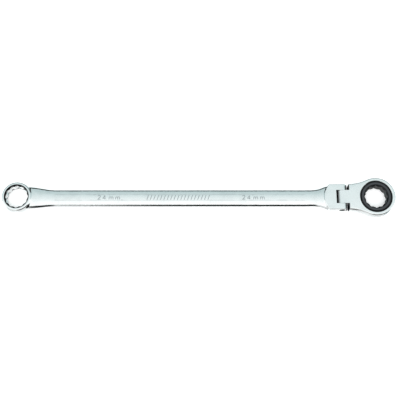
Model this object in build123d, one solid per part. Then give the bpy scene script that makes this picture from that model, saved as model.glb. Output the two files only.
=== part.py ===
"""Flex-head ratcheting wrench with a fixed twelve-point box on the other end.

Millimetres. X runs along the shaft, from the fixed box (-X) to the ratcheting head (+X). Z is up: the
wrench lies flat, with its lowest faces on Z = 0. The origin is under the middle of the whole wrench.
The shaft is one forging: fixed box, beam and yoke. The head swings about a cross screw in the yoke.
"""

from build123d import *
import math
import os

# ------------------------------------------------------------------ driving dimensions

overall_length = 470.0  # outside of the box to outside of the head
hex_across_flats = 24.0  # the fastener that both ends fit
hex_clearance = 0.2  # added across the flats
flank_relief_radius = 0.7  # rounds the twelve outer corners of an opening

box_wall = 3.53  # from the opening's corners to the outside
box_thickness = 14.5
box_rim_fillet = 1.6
box_neck_fillet = 2.6
box_mouth_margin = 0.65  # from the opening's corners to the rim of its lead-in cone
mouth_chamfer_depth = 2.1
mouth_angle = 45.0  # from the opening's axis to the lead-in cone

beam_half_width = 10.0
beam_half_thickness = 4.5
oval_squareness = 2.3  # 2 is an ellipse; more is squarer
OVAL_POINTS = 16
END_SPANS = 12  # in the loft at each end of the beam
beam_drop = 2.4  # how far the middle of the beam lies below its two ends
drop_from = 12.0  # the drop's ramps, from the box's centre and from the cross screw
drop_to = 45.0
straight_from = 90.0  # the middle of the beam has one section between these
box_neck_from = -5.5  # from the box's outside
box_neck_to = 28.5
yoke_neck_from = 33.0  # from the cross screw
yoke_neck_to = 15.0
box_neck_half_width = 13.2
box_neck_half_thickness = 5.7
yoke_neck_half_width = 14.2
yoke_neck_half_thickness = 4.6

pivot_to_drive = 40.2  # cross screw axis to drive gear axis
yoke_half_width = 15.4
yoke_thickness = 12.0
yoke_back_radius = 23.0  # the raised pad's curved back edge
yoke_back_reach = 21.5  # from the pivot to the middle of that edge
yoke_edge_fillet = 0.6
yoke_back_fillet = 1.4
beam_into_pad = 5.8  # how far the end of the beam reaches into the pad
slot_end_gap = 1.3  # between the tongue's round end and the slot's end
slot_corner_radius = 1.2

tongue_width = 16.0
tongue_side_gap = 0.15
shoulder_gap = 1.4  # from the ears' round ends to the head's shoulders

head_wall = 3.65  # round the gear's bore
head_thickness = 14.5
head_edge_fillet = 1.3
head_taper_margin = 1.65  # the faces taper from this far outside the bore to the pivot

gear_teeth = 72
gear_mouth_margin = 0.93  # from the opening's corners to the rim of its lead-in cone
gear_face_width = 2.7  # the gear's end face, outside that cone
gear_hub_step = 0.7  # from the hub up to the roots of the teeth
gear_tooth_depth = 0.85
tooth_foot_share = 0.40  # of the pitch, on each side of a tooth's middle
tooth_flat_share = 0.09
gear_end_recess = 0.2  # the gear's ends lie this far below the head's faces
gear_edge_chamfer = 0.4
bore_clearance = 0.2
hub_clearance = 0.25
lip_thickness = 2.0  # the ledge under the gear
thrust_washer_thickness = 0.5
cover_washer_thickness = 0.8
snap_ring_thickness = 1.0
snap_ring_cover = 1.05  # from the snap ring up to the head's face
snap_ring_groove_depth = 0.9
snap_ring_gap_angle = 16.0
snap_ring_lap = 0.9  # how far it reaches in over the cover washer
snap_ring_end_radius = 0.4
axial_play = 0.05
bore_mouth_chamfer = 0.35
drag_ring_section = 1.2

pawl_inset = 1.0  # the gear's band is this much taller than the pawl, at each end
pawl_pocket_radius = 11.0
pawl_pocket_inset = 2.65  # the pocket's own axis lies this far inside the tips of the teeth
pawl_near_angle = 14.0  # the pawl spans these angles behind the gear
pawl_far_angle = 30.5
pawl_clearance = 0.08
spring_wire = 0.45
spring_outer_radius = 1.5
spring_turns = 9
spring_pocket_depth = 2.0
spring_pocket_clearance = 0.2

screw_shank_radius = 3.0
screw_head_lip = 0.5  # the head is this much larger in radius than the shank
screw_head_height = 2.4
screw_thread_step = 0.5  # the thread is this much smaller in radius
screw_clearance = 0.05
screw_recess = 0.3
screw_socket_across_flats = 3.0
screw_socket_depth = 1.6
screw_edge_chamfer = 0.35
disc_spring_width = 2.2  # from the shank to the spring's outer edge
disc_spring_thickness = 0.35
disc_spring_height = 0.7

stamp_depth = 0.28
stamp_height = 5.4
stamp_stroke = 0.8
size_stamp_places = (110.0, 106.0)  # from the box's centre to one, and from the cross screw to the other
grip_mark_middle = 193.0  # from the box's centre
grip_mark_span = 73.0
grip_mark_height = 6.0
grip_mark_count = 19
grip_mark_lean = 2.0  # how far each slanted mark runs along the shaft

# ------------------------------------------------------------------ sizes and places worked out from them

opening_across_flats = hex_across_flats + hex_clearance
corner_radius = opening_across_flats / 2 / math.cos(math.radians(30))
box_mouth_radius = corner_radius + box_mouth_margin
gear_mouth_radius = corner_radius + gear_mouth_margin
box_outer_radius = corner_radius + box_wall
gear_hub_radius = gear_mouth_radius + gear_face_width
gear_root_radius = gear_hub_radius + gear_hub_step
gear_tip_radius = gear_root_radius + gear_tooth_depth
bore_radius = gear_tip_radius + bore_clearance
head_outer_radius = bore_radius + head_wall
pawl_pocket_offset = gear_tip_radius - pawl_pocket_inset
head_taper_reach = bore_radius + head_taper_margin
shoulder_reach = yoke_thickness / 2 + shoulder_gap
gear_band_height = head_thickness - lip_thickness - thrust_washer_thickness - cover_washer_thickness
gear_band_height -= snap_ring_thickness + snap_ring_cover + 3 * axial_play
pawl_height = gear_band_height - 2 * pawl_inset
screw_head_radius = screw_shank_radius + screw_head_lip
screw_thread_radius = screw_shank_radius - screw_thread_step
disc_spring_outer_radius = screw_shank_radius + disc_spring_width

box_x = box_outer_radius - overall_length / 2
drive_x = overall_length / 2 - head_outer_radius
pivot_x = drive_x - pivot_to_drive
mid_z = max(box_thickness, head_thickness) / 2

lip_radius = gear_hub_radius + hub_clearance
band_bottom_z = mid_z - head_thickness / 2 + lip_thickness + thrust_washer_thickness + axial_play
band_top_z = band_bottom_z + gear_band_height
washer_bottom_z = band_top_z + axial_play
snap_bottom_z = washer_bottom_z + cover_washer_thickness + axial_play
snap_top_z = snap_bottom_z + snap_ring_thickness
band_mid_z = (band_bottom_z + band_top_z) / 2
gear_bottom_z = mid_z - head_thickness / 2 + gear_end_recess
gear_top_z = mid_z + head_thickness / 2 - gear_end_recess
drag_groove_z = mid_z - head_thickness / 2 + lip_thickness / 2
drag_ring_radius = lip_radius - axial_play - drag_ring_section / 2
spring_x = drive_x - gear_tip_radius - 2 * spring_outer_radius
spring_top_y = (spring_x - drive_x) * -math.tan(math.radians(pawl_near_angle)) + spring_pocket_depth
slot_width = tongue_width + 2 * tongue_side_gap
spring_seat_depth = disc_spring_height + 2 * axial_play - tongue_side_gap


# ------------------------------------------------------------------ shared shapes


def point_on(radius, degrees):
    return (radius * math.cos(math.radians(degrees)), radius * math.sin(math.radians(degrees)))


def upright(radius, bottom, top, x=0.0, y=0.0):
    """A cylinder standing on Z = bottom."""
    return Pos(x, y, bottom) * extrude(Circle(radius), top - bottom)


def ring(outer, inner, bottom, top, x=0.0):
    return Pos(x, 0, bottom) * extrude(Circle(outer) - Circle(inner), top - bottom)


def cone_mouth(face_radius, face_z, depth, x, inwards):
    """The lead-in cone cut into an opening's end; inwards is -1 under a top face, +1 over a bottom one."""
    slope_end = face_radius - depth * math.tan(math.radians(mouth_angle))
    profile = Polyline(
        (0, face_z - inwards), (face_radius, face_z - inwards), (face_radius, face_z),
        (slope_end, face_z + inwards * depth), (0, face_z + inwards * depth), close=True,
    )
    return Pos(x, 0, 0) * revolve(Plane.XZ * make_face(profile), Axis.Z)


def twelve_point(across_flats):
    """Two hexagons laid over each other, thirty degrees apart, with their outer corners relieved."""
    inner = across_flats / 2 / math.cos(math.radians(15))
    outer = across_flats / 2 / math.cos(math.radians(30))
    corners = [point_on(outer if i % 2 == 0 else inner, 15 * i) for i in range(24)]
    star = make_face(Polyline(*corners, close=True))
    tips = [v for v in star.vertices() if math.hypot(v.X, v.Y) > (inner + outer) / 2]
    return fillet(tips, flank_relief_radius)


def toothed_disc(tip, root, grow=0.0):
    """The ratchet profile: even teeth with narrow flats; grow widens each tooth by that much a side."""
    pitch = 360 / gear_teeth
    spread = math.degrees(grow / root)
    corners = []
    for i in range(gear_teeth):
        middle = i * pitch
        for turn, radius in (
            (-tooth_foot_share, root), (-tooth_flat_share, tip),
            (tooth_flat_share, tip), (tooth_foot_share, root),
        ):
            widen = math.copysign(spread, turn)
            corners.append(point_on(radius, middle + turn * pitch + widen))
    return make_face(Polyline(*corners, close=True))


def oval(x, z, half_width, half_height):
    """A flattened oval, rounder at its sides than on its faces, standing across the shaft at x."""
    points = []
    for i in range(OVAL_POINTS):
        turn = -math.pi / 2 + 2 * math.pi * i / OVAL_POINTS
        across, up = math.cos(turn), math.sin(turn)
        points.append((
            half_width * math.copysign(abs(across) ** (2 / oval_squareness), across),
            half_height * math.copysign(abs(up) ** (2 / oval_squareness), up),
        ))
    return Plane.YZ.offset(x) * Pos(0, z, 0) * make_face(Spline(*points, periodic=True))


# ------------------------------------------------------------------ shaft: box, beam and yoke in one forging


def eased(start, end, place):
    """0 before start, 1 after end, and a smooth rise between them."""
    share = min(max((place - start) / (end - start), 0), 1)
    return share * share * (3 - 2 * share)


def beam_section(away):
    """The beam's section at one distance from the box's centre."""
    length = pivot_x - box_x
    at_box = 1 - eased(box_outer_radius + box_neck_from, box_outer_radius + box_neck_to, away)
    at_yoke = eased(length - yoke_neck_from, length - yoke_neck_to, away)
    middle = 1 - at_box - at_yoke
    width = middle * beam_half_width + at_box * box_neck_half_width + at_yoke * yoke_neck_half_width
    thickness = (
        middle * beam_half_thickness
        + at_box * box_neck_half_thickness
        + at_yoke * yoke_neck_half_thickness
    )
    sag = eased(drop_from, drop_to, away) * (1 - eased(length - drop_to, length - drop_from, away))
    return oval(box_x + away, mid_z - beam_drop * sag, width, thickness)


def beam_end(first, last):
    """A lofted length of the beam, between two distances from the box's centre."""
    return loft([beam_section(first + (last - first) * i / END_SPANS) for i in range(END_SPANS + 1)])


def beam_middle():
    """The beam's straight length, where every section is the same."""
    length = pivot_x - box_x
    return extrude(beam_section(straight_from), length - 2 * straight_from, dir=(1, 0, 0))


def yoke_pad():
    """The raised block with a curved back, whose ears end in half rounds about the cross screw."""
    half = yoke_thickness / 2
    back_centre = yoke_back_radius - yoke_back_reach
    corner_x = back_centre - math.sqrt(yoke_back_radius**2 - yoke_half_width**2)
    outline = [
        Line((half, -yoke_half_width), (half, yoke_half_width)),
        Line((half, yoke_half_width), (corner_x, yoke_half_width)),
        ThreePointArc((corner_x, yoke_half_width), (-yoke_back_reach, 0), (corner_x, -yoke_half_width)),
        Line((corner_x, -yoke_half_width), (half, -yoke_half_width)),
    ]
    plan = extrude(make_face(outline), half, both=True)
    side = Plane.XZ * (Circle(half) + Pos(-yoke_back_reach, 0) * Rectangle(2 * yoke_back_reach, 2 * half))
    pad = plan & extrude(side, yoke_half_width + 1, both=True)
    return Pos(pivot_x, 0, mid_z) * fillet(pad.edges(), yoke_edge_fillet)


def box_blank():
    """The fixed box before its opening is cut."""
    disc = Pos(box_x, 0, 0) * Rot(0, 0, 180) * upright(
        box_outer_radius, mid_z - box_thickness / 2, mid_z + box_thickness / 2
    )
    return fillet(disc.edges().filter_by(GeomType.CIRCLE), box_rim_fillet)


def blended(first, second, radius):
    """The two solids joined, with a fillet all along the line where they meet."""
    both = first + second
    return both.fillet(radius, new_edges(first, second, combined=both))


def box_opening():
    through = Pos(box_x, 0, mid_z) * extrude(twelve_point(opening_across_flats), box_thickness, both=True)
    top = cone_mouth(box_mouth_radius, mid_z + box_thickness / 2, mouth_chamfer_depth, box_x, -1)
    under = cone_mouth(box_mouth_radius, mid_z - box_thickness / 2, mouth_chamfer_depth, box_x, 1)
    return through + top + under


def yoke_slot():
    """The slot for the head's tongue, open at the front and through both faces."""
    back = yoke_thickness / 2 + slot_end_gap
    block = Pos(pivot_x, 0, mid_z) * Box(2 * back, slot_width, 2 * yoke_thickness)
    return fillet(block.edges().filter_by(Axis.Z), slot_corner_radius)


def across(radius, start, end):
    """A cylinder along the cross screw's axis, from y = start to y = end."""
    return Pos(pivot_x, start, mid_z) * extrude(Plane.XZ * Circle(radius), -(end - start))


def screw_bores():
    """Counterbore for the screw's head, clearance hole, threaded hole, and the two spring seats."""
    face = -yoke_half_width
    seat = slot_width / 2 + spring_seat_depth
    head_floor = face + screw_recess + screw_head_height
    return (
        across(screw_head_radius + 2 * screw_clearance, face - 1, head_floor)
        + across(screw_shank_radius + screw_clearance, head_floor, 0)
        + across(screw_thread_radius, 0, yoke_half_width + 1)
        + across(disc_spring_outer_radius + 2 * screw_clearance, -seat, seat)
    )


def stroke(*points):
    return trace(Polyline(*points), stamp_stroke)


def digit_two():
    """The figure 2: three quarters of a round top, a slanted stroke and a foot."""
    h = stamp_height
    top = CenterArc((0.3 * h, 0.7 * h), 0.26 * h, -25, 200)
    return trace(top, stamp_stroke) + stroke(top @ 0, (0.05 * h, 0.08 * h), (0.6 * h, 0.08 * h))


def digit_four():
    """The figure 4: a slanted stroke with a bar, crossed by an upright."""
    h = stamp_height
    slant = stroke((0.66 * h, 0.3 * h), (0.04 * h, 0.3 * h), (0.48 * h, 0.96 * h))
    return slant + stroke((0.48 * h, 0.96 * h), (0.48 * h, 0.04 * h))


def letter_m():
    """A small m: three legs under two round arches."""
    h = stamp_height
    legs = [stroke((x * h, 0.04 * h), (x * h, 0.46 * h)) for x in (0.06, 0.5, 0.94)]
    arches = [trace(CenterArc((x * h, 0.4 * h), 0.22 * h, 0, 180), stamp_stroke) for x in (0.28, 0.72)]
    return Sketch() + legs + arches


def size_stamp(x):
    """24 mm, the size that both ends fit, in plain strokes centred on x."""
    h = stamp_height
    marks = [
        Pos(0, 0) * digit_two(), Pos(1.1 * h, 0) * digit_four(),
        Pos(2.45 * h, 0) * letter_m(), Pos(3.9 * h, 0) * letter_m(),
    ]
    width = 4.95 * h
    return [Pos(x - width / 2, -h / 2) * mark for mark in marks]


def grip_marks():
    """A plain row of slanted strokes along the middle of the shaft."""
    half = grip_mark_height / 2
    first = box_x + grip_mark_middle - grip_mark_span / 2
    step = grip_mark_span / (grip_mark_count - 1)
    return [
        Pos(first + i * step, 0) * stroke((-grip_mark_lean / 2, -half), (grip_mark_lean / 2, half))
        for i in range(grip_mark_count)
    ]


def stamped_marks():
    """Every stamp as a block that stands on one flat floor, just under the beam's crowned face."""
    marks = grip_marks()
    marks += size_stamp(box_x + size_stamp_places[0])
    marks += size_stamp(pivot_x - size_stamp_places[1])
    floor_z = mid_z - beam_drop + beam_half_thickness - stamp_depth
    return [Pos(0, 0, floor_z) * extrude(mark, box_thickness) for mark in marks]


def shaft():
    """The forging: box, beam and yoke, stamped and machined."""
    middle = beam_middle()
    for mark in stamped_marks():
        middle -= mark
    length = pivot_x - box_x
    box_end = beam_end(box_outer_radius / 2, straight_from)
    yoke_end = beam_end(length - straight_from, length - yoke_back_reach + beam_into_pad)
    forging = blended(box_end, box_blank(), box_neck_fillet) + middle
    forging = forging + blended(yoke_end, yoke_pad(), yoke_back_fillet)
    return forging - box_opening() - yoke_slot() - screw_bores()


# ------------------------------------------------------------------ the ratcheting head

def head_plan():
    """A round head with concave necks that run down to the shoulders, about the gear's axis."""
    run = pivot_to_drive - shoulder_reach
    half = yoke_half_width
    neck_radius = (run**2 / (head_outer_radius - half) - (head_outer_radius + half)) / 2
    centre = Vector(-run, half + neck_radius)
    meet = centre.normalized() * head_outer_radius
    bend = centre + (Vector(-run, half) - centre + meet - centre).normalized() * neck_radius
    upper = [
        Line((-run, 0), (-run, half)),
        ThreePointArc((-run, half), (bend.X, bend.Y), (meet.X, meet.Y)),
    ]
    lower = [line.mirror(Plane.XZ) for line in upper]
    nose = ThreePointArc((meet.X, meet.Y), (head_outer_radius, 0), (meet.X, -meet.Y))
    return make_face(upper + lower + [nose])


def head_side(reach):
    """Side profile about the pivot: a round tongue end, tapering faces, then flat over the gear."""
    tip, full = yoke_thickness / 2, head_thickness / 2
    flat_from = pivot_to_drive - head_taper_reach
    wedge = Polyline(
        (0, -tip), (flat_from, -full), (reach, -full), (reach, full), (flat_from, full), (0, tip), close=True
    )
    return make_face(wedge) + Circle(tip)


def head_blank():
    """The solid head and its tongue, with rounded outer edges."""
    reach = pivot_to_drive + 2 * head_outer_radius
    profile = extrude(Plane.XZ * head_side(reach), reach, both=True)
    block = Pos(pivot_to_drive, 0, 0) * extrude(head_plan(), head_thickness, both=True) & profile
    rims = [
        e for e in block.edges() if e.geom_type != GeomType.LINE or e.center().X < shoulder_reach + 0.1
    ]
    block = fillet(rims, head_edge_fillet)
    tongue = Pos(shoulder_reach / 2, 0, 0) * Box(2 * yoke_thickness, tongue_width, 2 * head_thickness)
    return Pos(pivot_x, 0, mid_z) * (block + (tongue & profile))


def head_bore():
    """The stepped bore: through the ledge, up past the gear, with a groove for the snap ring."""
    bottom, top = mid_z - head_thickness / 2, mid_z + head_thickness / 2
    groove_radius = bore_radius + snap_ring_groove_depth
    mouth = Pos(0, 0, top) * Cone(
        bore_radius, bore_radius + 2 * bore_mouth_chamfer, 2 * bore_mouth_chamfer
    )
    bore = (
        upright(lip_radius, bottom - 1, top)
        + upright(bore_radius, bottom + lip_thickness, top + 1)
        + upright(groove_radius, snap_bottom_z - axial_play, snap_top_z + axial_play)
        + mouth
    )
    return Pos(drive_x, 0, 0) * bore


def pawl_pocket():
    """A round pocket in the web behind the bore, with a blind seat for the spring in its far wall."""
    half = pawl_height / 2 + pawl_clearance
    pocket = upright(pawl_pocket_radius, band_mid_z - half, band_mid_z + half, drive_x - pawl_pocket_offset)
    seat = spring_line(spring_seat_y(), 0)
    return pocket + seat


def spring_seat_y():
    """How far down -Y the spring's seat reaches."""
    aside = spring_x - (drive_x - pawl_pocket_offset)
    return -math.sqrt(pawl_pocket_radius**2 - aside**2) - spring_pocket_depth


def spring_line(start, end):
    """A cylinder on the spring's axis, wide enough for the spring."""
    radius = spring_outer_radius + spring_pocket_clearance
    return Pos(spring_x, start, band_mid_z) * extrude(Plane.XZ * Circle(radius), -(end - start))


def head_body():
    """The head forging, machined for the gear, the pawl and the cross screw."""
    head = head_blank() - head_bore() - pawl_pocket()
    return head - across(screw_shank_radius + screw_clearance, -tongue_width, tongue_width)


def drive_gear():
    """The ring gear: ratchet teeth outside between two plain hubs, twelve points inside."""
    band = Pos(0, 0, band_bottom_z) * extrude(
        toothed_disc(gear_tip_radius, gear_root_radius), gear_band_height
    )
    hubs = upright(gear_hub_radius, gear_bottom_z, gear_top_z)
    hubs = chamfer(hubs.edges().filter_by(GeomType.CIRCLE), gear_edge_chamfer)
    groove = Torus(drag_ring_radius, drag_ring_section / 2 + axial_play)
    blank = band + hubs - Pos(0, 0, drag_groove_z) * groove
    opening = Pos(0, 0, mid_z) * extrude(twelve_point(opening_across_flats), head_thickness, both=True)
    top = cone_mouth(gear_mouth_radius, gear_top_z, mouth_chamfer_depth, 0, -1)
    under = cone_mouth(gear_mouth_radius, gear_bottom_z, mouth_chamfer_depth, 0, 1)
    return Pos(drive_x, 0, 0) * (blank - opening - top - under)


def thrust_washer():
    """The flat washer that the gear's band turns on, on the head's ledge."""
    bottom = mid_z - head_thickness / 2 + lip_thickness
    return ring(bore_radius - axial_play, lip_radius, bottom, bottom + thrust_washer_thickness, drive_x)


def cover_washer():
    """The flat washer over the gear's band, under the snap ring."""
    top = washer_bottom_z + cover_washer_thickness
    return ring(bore_radius - axial_play, lip_radius, washer_bottom_z, top, drive_x)


def snap_ring():
    """The open retaining ring in its groove, with a gap towards the shaft."""
    outer = bore_radius + snap_ring_groove_depth - axial_play
    inner = bore_radius - snap_ring_lap
    half_gap = outer * math.tan(math.radians(snap_ring_gap_angle / 2))
    gap = Pos(drive_x - outer, 0, 0) * Box(2 * (outer - inner) + 2, 2 * half_gap, 3 * head_thickness)
    circlip = ring(outer, inner, snap_bottom_z, snap_top_z, drive_x) - gap
    corners = circlip.edges().filter_by(Axis.Z)
    return fillet(corners, snap_ring_end_radius)


def drag_ring():
    """The rubber ring in the gear's lower hub, which keeps the gear from turning by itself."""
    return Pos(drive_x, 0, drag_groove_z) * Torus(drag_ring_radius, drag_ring_section / 2)


def pawl():
    """The crescent pawl: a round back that slides in its pocket and a toothed face in mesh with the gear."""
    bottom = band_mid_z - pawl_height / 2
    back = upright(pawl_pocket_radius - pawl_clearance, bottom, bottom + pawl_height, -pawl_pocket_offset)
    far = 3 * head_outer_radius
    wedge = Polyline(
        (0, 0), point_on(far, 180 - pawl_near_angle), point_on(far, 180 - pawl_far_angle), close=True
    )
    block = back & Pos(0, 0, bottom) * extrude(make_face(wedge), pawl_height)
    teeth = toothed_disc(
        gear_tip_radius + pawl_clearance, gear_root_radius + pawl_clearance, pawl_clearance
    )
    block -= Pos(0, 0, bottom) * extrude(teeth, pawl_height)
    return Pos(drive_x, 0, 0) * block - spring_line(0, spring_top_y + 0.01)


def pawl_spring():
    """The coil spring between the pocket's seat and the pawl's inner end."""
    start = spring_seat_y()
    length = spring_top_y - start
    coil_radius = spring_outer_radius - spring_wire / 2
    pitch = (length - spring_wire) / spring_turns
    path = Helix(pitch, length - spring_wire, coil_radius)
    wire = sweep(Plane(path @ 0, z_dir=path % 0) * Circle(spring_wire / 2), path=path)
    return Pos(spring_x, start + spring_wire / 2, band_mid_z) * Rot(-90, 0, 0) * wire


# ------------------------------------------------------------------ the cross joint

def pivot_screw():
    """The shoulder screw: hexagon socket in its head, plain shank, threaded end."""
    head_floor = -yoke_half_width + screw_recess + screw_head_height
    shank_end = slot_width / 2 + spring_seat_depth
    thread_end = yoke_half_width - screw_recess
    head = across(screw_head_radius, head_floor - screw_head_height, head_floor)
    head = chamfer(head.edges().filter_by(GeomType.CIRCLE).sort_by(Axis.Y)[0], screw_edge_chamfer)
    thread = across(screw_thread_radius - screw_clearance, shank_end, thread_end)
    thread = chamfer(thread.edges().filter_by(GeomType.CIRCLE).sort_by(Axis.Y)[-1], screw_edge_chamfer)
    socket = RegularPolygon(screw_socket_across_flats / 2, 6, major_radius=False)
    hole = Pos(pivot_x, head_floor - screw_head_height - 1, mid_z) * extrude(
        Plane.XZ * socket, -(screw_socket_depth + 1)
    )
    return head + across(screw_shank_radius, head_floor, shank_end) + thread - hole


def disc_spring(side):
    """The coned spring washer between the tongue and one ear; side is -1 or +1 along Y."""
    inner = screw_shank_radius + 2 * screw_clearance
    outer = disc_spring_outer_radius
    rise = disc_spring_height - disc_spring_thickness
    profile = Polyline(
        (outer, 0), (outer, disc_spring_thickness), (inner, disc_spring_height), (inner, rise), close=True
    )
    washer = revolve(Plane.XZ * make_face(profile), Axis.Z)
    start = tongue_width / 2 + axial_play
    return Pos(pivot_x, side * start, mid_z) * Rot(-90 * side, 0, 0) * washer


# ------------------------------------------------------------------ write every node

nodes = {
    "shaft": shaft(),
    "head_body": head_body(),
    "drive_gear": drive_gear(),
    "thrust_washer": thrust_washer(),
    "cover_washer": cover_washer(),
    "snap_ring": snap_ring(),
    "drag_ring": drag_ring(),
    "pawl": pawl(),
    "pawl_spring": pawl_spring(),
    "pivot_screw": pivot_screw(),
    "disc_spring_left": disc_spring(1),
    "disc_spring_right": disc_spring(-1),
}
os.makedirs("parts", exist_ok=True)
for name, solid in nodes.items():
    export_step(solid, f"parts/{name}.step")
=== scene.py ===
"""A long flex-head ratcheting box wrench, lying flat and seen from above under soft studio light."""

import math

import bmesh
import bpy
from mathutils import Matrix, Vector


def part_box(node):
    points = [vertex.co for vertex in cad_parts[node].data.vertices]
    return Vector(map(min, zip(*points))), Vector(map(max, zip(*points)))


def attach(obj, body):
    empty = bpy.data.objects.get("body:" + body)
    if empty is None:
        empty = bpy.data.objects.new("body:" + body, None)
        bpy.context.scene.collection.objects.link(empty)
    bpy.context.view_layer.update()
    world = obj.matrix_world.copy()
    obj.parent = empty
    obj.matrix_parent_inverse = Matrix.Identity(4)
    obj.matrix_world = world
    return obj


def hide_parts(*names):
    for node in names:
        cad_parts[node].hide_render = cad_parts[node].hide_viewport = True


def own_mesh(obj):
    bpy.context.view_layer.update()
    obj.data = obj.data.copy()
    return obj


# ---------------------------------------------------------------- camera
# A long lens high over the wrench, tipped a little so that the near walls of both rings show.
# Its view is a little wider than the wrench is long.

CAMERA_DISTANCE = 0.986
CAMERA_TIP = math.radians(16)  # away from straight down, towards the viewer
VIEW_WIDTH = 0.480  # of the wrench's own plane
SENSOR_WIDTH = 36.0
CLIP_END = 20.0
AIM = Vector((0.0016, -0.0026, 0.007))
TO_CAMERA = Vector((0, -math.sin(CAMERA_TIP), math.cos(CAMERA_TIP)))

lens_data = bpy.data.cameras.new("studio_camera")
lens_data.sensor_width = SENSOR_WIDTH
lens_data.lens = SENSOR_WIDTH * CAMERA_DISTANCE / VIEW_WIDTH
lens_data.clip_end = CLIP_END
studio_camera = bpy.data.objects.new("studio_camera", lens_data)
studio_camera.location = AIM + CAMERA_DISTANCE * TO_CAMERA
studio_camera.rotation_euler = (CAMERA_TIP, 0, 0)
bpy.context.scene.collection.objects.link(studio_camera)
bpy.context.scene.camera = studio_camera

# ---------------------------------------------------------------- the machined parts
# The forged, turned and cut parts come in already shaped, and get their finishes below. Each one's
# facets are joined and shaded as one skin, which breaks only at real edges.

EDGE_ANGLE = math.radians(28)
SAME_CORNER = 1e-6  # two corners this near each other are one

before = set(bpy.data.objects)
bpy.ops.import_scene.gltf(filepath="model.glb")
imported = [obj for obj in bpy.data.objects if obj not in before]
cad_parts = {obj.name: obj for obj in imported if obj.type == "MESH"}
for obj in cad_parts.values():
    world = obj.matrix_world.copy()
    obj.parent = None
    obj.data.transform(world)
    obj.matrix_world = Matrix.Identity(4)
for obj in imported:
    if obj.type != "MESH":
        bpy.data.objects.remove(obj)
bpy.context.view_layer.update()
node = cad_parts

for part in node.values():
    part.data.polygons.foreach_set("use_smooth", [True] * len(part.data.polygons))
    weld = part.modifiers.new("join_facets", "WELD")
    weld.merge_threshold = SAME_CORNER
    split = part.modifiers.new("real_edges", "EDGE_SPLIT")
    split.split_angle = EDGE_ANGLE

# ---------------------------------------------------------------- shaft: satin chrome
# One forging: fixed box, beam and yoke. It is ground along its length, plated and lightly polished.
# Painted shade, a grey, lies in the bottoms of the stamped strokes, and painted shade and painted
# dark reflection, a black, in the yoke's slot, on the ears' round ends and in the mouths of the fixed box.


class Reading:
    """A node's output. Arithmetic on it adds Math nodes."""

    def __init__(self, nodes, socket):
        self.nodes = nodes
        self.socket = socket

    def math(self, operation, *values):
        sockets = dict(enumerate((self, *values)))
        return self.nodes.node("ShaderNodeMath", {"operation": operation}, sockets)

    def __add__(self, other):
        return self.math("ADD", other)

    def __sub__(self, other):
        return self.math("SUBTRACT", other)

    def __rsub__(self, other):
        return self.math("MULTIPLY_ADD", -1.0, other)

    def __mul__(self, other):
        return self.math("MULTIPLY", other)

    def __or__(self, other):
        return self.math("MAXIMUM", other)

    def __neg__(self):
        return self * -1.0

    def __abs__(self):
        return self.math("ABSOLUTE")

    __radd__ = __add__
    __rmul__ = __mul__

    def below(self, edge, soft):
        """1 well below the edge and 0 well above it, over a soft step."""
        settings = {"interpolation_type": "SMOOTHSTEP"}
        step = {"From Min": edge - soft, "From Max": edge + soft, "To Min": 1.0, "To Max": 0.0}
        return self.nodes.node("ShaderNodeMapRange", settings, {"Value": self, **step})

    def above(self, edge, soft):
        return 1 - self.below(edge, soft)


class Nodes:
    """A node tree that nodes are added to."""

    def __init__(self, tree):
        self.tree = tree

    def node(self, kind, settings=None, sockets=None, output=0):
        made = self.tree.nodes.new(kind)
        for label, value in (settings or {}).items():
            setattr(made, label, value)
        for label, value in (sockets or {}).items():
            self.feed(made.inputs[label], value)
        return Reading(self, made.outputs[output])

    def feed(self, socket, value):
        if isinstance(value, Reading):
            self.tree.links.new(value.socket, socket)
        else:
            socket.default_value = value

    def mix(self, share, first, second):
        """A colour between two colours."""
        settings = {"data_type": "RGBA"}
        return self.node("ShaderNodeMix", settings, {0: share, 6: first, 7: second}, output=2)


class Finish(Nodes):
    """A material and its nodes."""

    def __init__(self, name, **shader):
        self.material = bpy.data.materials.new(name)
        self.material.use_nodes = True
        super().__init__(self.material.node_tree)
        self.shader = self.tree.nodes["Principled BSDF"]
        self.set(**shader)
        self.place = self.node("ShaderNodeTexCoord", output="Object")

    def set(self, **sockets):
        for label, value in sockets.items():
            self.feed(self.shader.inputs[label.replace("_", " ")], value)

    def axis(self, letter):
        """One coordinate of the place on the part, in metres."""
        return self.node("ShaderNodeSeparateXYZ", sockets={"Vector": self.place}, output=letter)

    def distance(self, x):
        """How far the place is from the upright axis at x."""
        flat = self.node("ShaderNodeVectorMath", {"operation": "MULTIPLY"}, {0: self.place, 1: (1, 1, 0)})
        values = {0: flat, 1: (x, 0, 0)}
        return self.node("ShaderNodeVectorMath", {"operation": "DISTANCE"}, values, output="Value")

    def noise(self, scale, detail=3.0, roughness=0.55, stretch=(1, 1, 1)):
        """Noise about 0.5; stretch multiplies the scale along each axis."""
        moved = self.node("ShaderNodeMapping", sockets={"Vector": self.place, "Scale": stretch})
        values = {"Vector": moved, "Scale": scale, "Detail": detail, "Roughness": roughness}
        return self.node("ShaderNodeTexNoise", sockets=values)

    def bump(self, height, distance):
        return self.node("ShaderNodeBump", sockets={"Height": height, "Distance": distance})

    def put_on(self, *parts):
        for part in parts:
            part.data.materials.clear()
            part.data.materials.append(self.material)


CHROME = (0.84, 0.86, 0.86, 1)
CHROME_DULL = (0.66, 0.69, 0.69, 1)
DULL_SHARE = 0.35  # at the middle of a dull cloud
# painted shade: the grey that darkens the bottoms of the stamped strokes
STAMP_SHADE_GREY = (0.38, 0.41, 0.42, 1)
# painted shade and painted dark reflection: the black in the slot, joint gaps and the box's mouths
PAINTED_SHADE_BLACK = (0.012, 0.013, 0.014, 1)
GRIND_DEPTH = 0.000004

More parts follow.
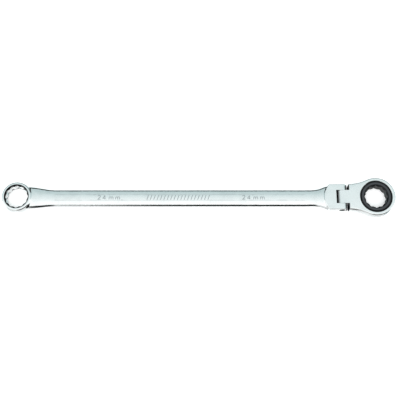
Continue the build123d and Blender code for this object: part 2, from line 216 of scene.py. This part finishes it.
CRISP = 0.00004  # softness of a painted shade's edge
SPARE = 0.00005  # a mask reaches this far past the walls it covers
MID_Z = 0.00725
STAMP_FLOOR = 0.00907
STAMP_SHADE_TOP = STAMP_FLOOR + 0.0001
STAMP_SHADE_BOTTOM = STAMP_FLOOR - 0.0002
STAMP_REACH = 0.0036  # of a stroke, to each side of the middle
PIVOT_X = 0.1718
SLOT_HALF = 0.00815
SLOT_END = 0.0073  # from the cross screw's axis towards the beam
EAR_ROUND = 0.0042  # from the cross screw's axis towards the head
BOX_X = -0.2175
BOX_CONE = 0.00737  # on the lead-in cone, the radius less the height from the middle
CONE_SHADE_REACH = 0.0004  # reach of the painted shade to each side of the cone
CONE_RIM = 0.0149  # from the box's axis
CORNER_NEAR = 0.0132  # the opening's twelve corners, from its axis
CORNER_FAR = 0.0148
CORNER_SHADE_FROM = 0.0036  # height from the middle at which the corners' painted shade is half there
CORNER_SHARE = 0.85

satin = Finish("satin_chrome_shaft", Specular_IOR_Level=0.0)
cloud = satin.noise(60.0)
grind = satin.noise(900.0, stretch=(0.06, 1, 1))
pits = satin.noise(2500.0, detail=1.0)
along = satin.axis("X")
across = abs(satin.axis("Y"))
height = satin.axis("Z")
from_mid = abs(height - MID_Z)
from_axis = satin.distance(BOX_X)

# painted shade in the bottoms of the stamped strokes
stamp_shade = height.below(STAMP_SHADE_TOP, 0.00003) * height.above(STAMP_SHADE_BOTTOM, 0.00005)
stamp_shade = stamp_shade * across.below(STAMP_REACH, 0.0001)
# painted shade and painted dark reflection, in black: the slot, the ears' round ends, the box's cone and
# corners
in_slot = along.above(PIVOT_X - SLOT_END - SPARE, CRISP) * across.below(SLOT_HALF + SPARE, CRISP)
ear_round = along.above(PIVOT_X + EAR_ROUND, 0.0006)
in_cone = abs(from_axis - from_mid - BOX_CONE).below(CONE_SHADE_REACH, CRISP) * from_axis.below(CONE_RIM, 0.0001)
in_corner = from_axis.above(CORNER_NEAR, 0.0002) * from_axis.below(CORNER_FAR, 0.0001)
in_corner = in_corner * from_mid.above(CORNER_SHADE_FROM, 0.0020)
painted_shade = in_slot | ear_round | in_cone | in_corner * CORNER_SHARE

plated = satin.mix(cloud.above(0.62, 0.2) * DULL_SHARE, CHROME, CHROME_DULL)
satin.set(
    Base_Color=satin.mix(painted_shade, satin.mix(stamp_shade, plated, STAMP_SHADE_GREY), PAINTED_SHADE_BLACK),
    Roughness=0.09 + cloud * 0.07 + grind * 0.07 + stamp_shade * 0.2 + painted_shade * 0.3,
    Metallic=1 - painted_shade,
    Normal=satin.bump(grind * 0.6 + pits * 0.4, GRIND_DEPTH),
)
satin.put_on(node["shaft"])

# ---------------------------------------------------------------- head: satin chrome
# The forging that holds the gear and tilts on the cross screw. It has the shaft's plate over finer
# marks that run no one way, and painted shade, a black, on its shoulders and on the round end of its
# tongue.

SHOULDER = 0.0083  # from the cross screw's axis towards the gear
TONGUE_END = 0.0038  # from the cross screw's axis towards the beam
TONGUE_HALF = 0.0080

satin_head = Finish("satin_chrome_head", Specular_IOR_Level=0.0)
cloud = satin_head.noise(70.0)
grind = satin_head.noise(700.0, stretch=(1, 1, 0.3))
along = satin_head.axis("X")
across = abs(satin_head.axis("Y"))

# painted shade: black on the shoulders beside the ears and on the tongue's round end
on_shoulder = along.below(PIVOT_X + SHOULDER, 0.0004) * across.above(TONGUE_HALF, CRISP)
on_tongue_end = along.below(PIVOT_X - TONGUE_END, 0.0016)
painted_shade = on_shoulder | on_tongue_end

plated = satin_head.mix(cloud.above(0.62, 0.2) * DULL_SHARE, CHROME, CHROME_DULL)
satin_head.set(
    Base_Color=satin_head.mix(painted_shade, plated, PAINTED_SHADE_BLACK),
    Metallic=1 - painted_shade,
    Roughness=0.14 + cloud * 0.07 + grind * 0.08,
    Normal=satin_head.bump(grind, GRIND_DEPTH),
)
satin_head.put_on(node["head_body"])

# ---------------------------------------------------------------- gear, washer, ring and screw: black oxide
# Hardened steel blackened in hot salts and oiled. The black is thin and a little cloudy, and it is
# thinner still on the gear's two ground end faces.

OXIDE = (0.007, 0.0075, 0.0085, 1)
OXIDE_THIN = (0.05, 0.05, 0.053, 1)
OXIDE_GROUND = (0.045, 0.048, 0.052, 1)
THIN_SHARE = 0.25  # at the middle of a thin cloud
GEAR_END = 0.00705  # the gear's end faces, from the middle
GEAR_FROM = 0.01  # the gear starts past this, from the cross screw's axis
OXIDE_GRAIN = 0.000006

oxide = Finish("black_oxide", Metallic=0.0, Specular_IOR_Level=0.2)
cloud = oxide.noise(120.0)
grain = oxide.noise(3000.0, detail=2.0)
from_mid = abs(oxide.axis("Z") - MID_Z)
ground = from_mid.above(GEAR_END - SPARE, 0.00002) * oxide.axis("X").above(PIVOT_X + GEAR_FROM, 0.001)
black = oxide.mix(cloud.above(0.6, 0.15) * THIN_SHARE, OXIDE, OXIDE_THIN)
oxide.set(
    Base_Color=oxide.mix(ground, black, OXIDE_GROUND),
    Roughness=0.30 + cloud * 0.15 + grain * 0.1,
    Normal=oxide.bump(grain, OXIDE_GRAIN),
)
oxide.put_on(node["drive_gear"], node["cover_washer"], node["snap_ring"], node["pivot_screw"])

# ---------------------------------------------------------------- pieces inside the head and the yoke
# Ground or sprung steel, and one rubber ring. They show only when the wrench is taken apart.

STEEL = (0.45, 0.45, 0.46, 1)
STEEL_BRIGHT = (0.6, 0.6, 0.61, 1)
RUBBER = (0.012, 0.012, 0.012, 1)
RUBBER_DUSTY = (0.03, 0.03, 0.03, 1)
RUBBER_GRAIN = 0.00001

bright = Finish("bright_steel", Metallic=1.0)
grain = bright.noise(1500.0)
bright.set(
    Base_Color=bright.mix(grain, STEEL, STEEL_BRIGHT),
    Roughness=0.25 + grain * 0.15,
    Normal=bright.bump(grain, GRIND_DEPTH),
)
bright.put_on(node["thrust_washer"], node["pawl"], node["disc_spring_left"], node["disc_spring_right"])

rubber = Finish("black_rubber", Metallic=0.0)
grain = rubber.noise(2000.0)
rubber.set(
    Base_Color=rubber.mix(grain, RUBBER, RUBBER_DUSTY),
    Roughness=0.6 + grain * 0.2,
    Normal=rubber.bump(grain, RUBBER_GRAIN),
)
rubber.put_on(node["drag_ring"])

# ---------------------------------------------------------------- pawl spring: bright wire
# A coil wound from round spring wire. It stands in its seat in the head and keeps its length.

SPRING_WIRE = 0.00045
WIRE_SIDES = 12
SPRING_TURNS = 9
STEPS_PER_TURN = 24


def finished(mesh, name):
    """The modelled mesh as a new object in the scene."""
    bmesh.ops.recalc_face_normals(mesh, faces=mesh.faces)
    for face in mesh.faces:
        face.smooth = True
    data = bpy.data.meshes.new(name)
    mesh.to_mesh(data)
    mesh.free()
    made = bpy.data.objects.new(name, data)
    bpy.context.scene.collection.objects.link(made)
    return made


low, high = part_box("pawl_spring")
axis_x, axis_z = (low.x + high.x) / 2, (low.z + high.z) / 2
coil_radius = (high.x - low.x) / 2 - SPRING_WIRE / 2
run = high.y - low.y - SPRING_WIRE
steps = SPRING_TURNS * STEPS_PER_TURN
wire_start = Matrix.Translation((axis_x + coil_radius, low.y + SPRING_WIRE / 2, axis_z))

coil = bmesh.new()
wire = bmesh.ops.create_circle(coil, segments=WIRE_SIDES, radius=SPRING_WIRE / 2, matrix=wire_start)
bmesh.ops.spin(
    coil, geom=wire["verts"] + coil.edges[:], cent=(axis_x, 0, axis_z), axis=(0, 1, 0),
    dvec=(0, run / steps, 0), angle=2 * math.pi * SPRING_TURNS, steps=steps, use_merge=False,
)
bmesh.ops.holes_fill(coil, edges=coil.edges)
spring = finished(coil, "pawl_spring_coil")
bright.put_on(spring)
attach(spring, "head")
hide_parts("pawl_spring")
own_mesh(spring)

# ---------------------------------------------------------------- floor
# A plain white sheet just under the wrench. The chrome doesn't mirror it, and it glows a little, so
# that the shadow on it stays faint.

FLOOR_SIZE = 3.0
FLOOR_GAP = 0.0002
PAPER_WHITE = (0.93, 0.93, 0.93, 1)
PAPER_GLOW = 0.3

sheet = bmesh.new()
under_wrench = Matrix.Translation((0, 0, -FLOOR_GAP))
bmesh.ops.create_grid(sheet, x_segments=1, y_segments=1, size=FLOOR_SIZE, matrix=under_wrench)
floor = finished(sheet, "floor")
floor.visible_glossy = False
paper = Finish("white_floor", Metallic=0.0)
paper.set(Base_Color=PAPER_WHITE, Roughness=0.9, Emission_Color=(1, 1, 1, 1), Emission_Strength=PAPER_GLOW)
paper.put_on(floor)

# ---------------------------------------------------------------- light
# One wide lamp overhead, and a pale room that is brighter in front than behind. Two dark bands in
# the room, in front and behind, give the chrome its dark lines. The lamp itself isn't mirrored.

LAMP_PLACE = Vector((0, -0.55, 1.5))
LAMP_SIZE = 1.3
LAMP_POWER = 12.0

lamp_data = bpy.data.lights.new("overhead", "AREA")
lamp_data.size = LAMP_SIZE
lamp_data.energy = LAMP_POWER
lamp = bpy.data.objects.new("overhead", lamp_data)
lamp.location = LAMP_PLACE
lamp.rotation_euler = (-LAMP_PLACE).to_track_quat("-Z", "Y").to_euler()
lamp.visible_glossy = False
bpy.context.scene.collection.objects.link(lamp)

ROOM_BEHIND = 0.75
ROOM_RISE = 0.50  # from behind to in front
TINT_BEHIND = (0.80, 0.97, 0.98, 1)
TINT_FRONT = (0.98, 1.0, 1.0, 1)
WHITE = (1, 1, 1, 1)
BACK_BAND_LOW, BACK_BAND_HIGH = 1.0, 1.82  # radians from straight down
FRONT_BAND_LOW, FRONT_BAND_HIGH = 0.42, 2.14
FRONT_BAND_LEFT = 0.35  # how dark the front band is on the left, where 1 is the right
BAND_SIDE = 0.80  # the bands stop where a ray runs this much sideways
BAND_DARK = 0.985
BACKDROP = 0.9  # what is seen past the floor

world = bpy.data.worlds.new("studio")
bpy.context.scene.world = world
world.use_nodes = True
room = Nodes(world.node_tree)
ray = {"Vector": room.node("ShaderNodeTexCoord", output="Generated")}
ray_x, ray_y, ray_z = (room.node("ShaderNodeSeparateXYZ", sockets=ray, output=letter) for letter in "XYZ")
toward_viewer = (-ray_y).math("ARCTAN2", ray_z)  # radians from straight up
from_down = (-ray_z).math("ARCCOSINE")

back_band = from_down.above(BACK_BAND_LOW, 0.15) * from_down.below(BACK_BAND_HIGH, 0.12)
front_band = from_down.above(FRONT_BAND_LOW, 0.10) * from_down.below(FRONT_BAND_HIGH, 0.04)
front_band = front_band * (FRONT_BAND_LEFT + ray_x.above(-0.12, 0.06) * (1 - FRONT_BAND_LEFT))
band = back_band + (front_band - back_band) * toward_viewer.above(0.0, 0.3)
band = band * abs(ray_x).below(BAND_SIDE, 0.06)

level = ROOM_BEHIND + toward_viewer.above(-0.25, 0.7) * ROOM_RISE
level = level * (1 - band * BAND_DARK)
tint = room.mix(toward_viewer.above(-0.3, 0.6), TINT_BEHIND, TINT_FRONT)
seen = room.node("ShaderNodeLightPath", output="Is Camera Ray")
background = world.node_tree.nodes["Background"]
room.feed(background.inputs["Color"], room.mix(seen, tint, WHITE))
room.feed(background.inputs["Strength"], level * (1 - seen) + seen * BACKDROP)
bpy.context.scene.view_settings.view_transform = "Standard"
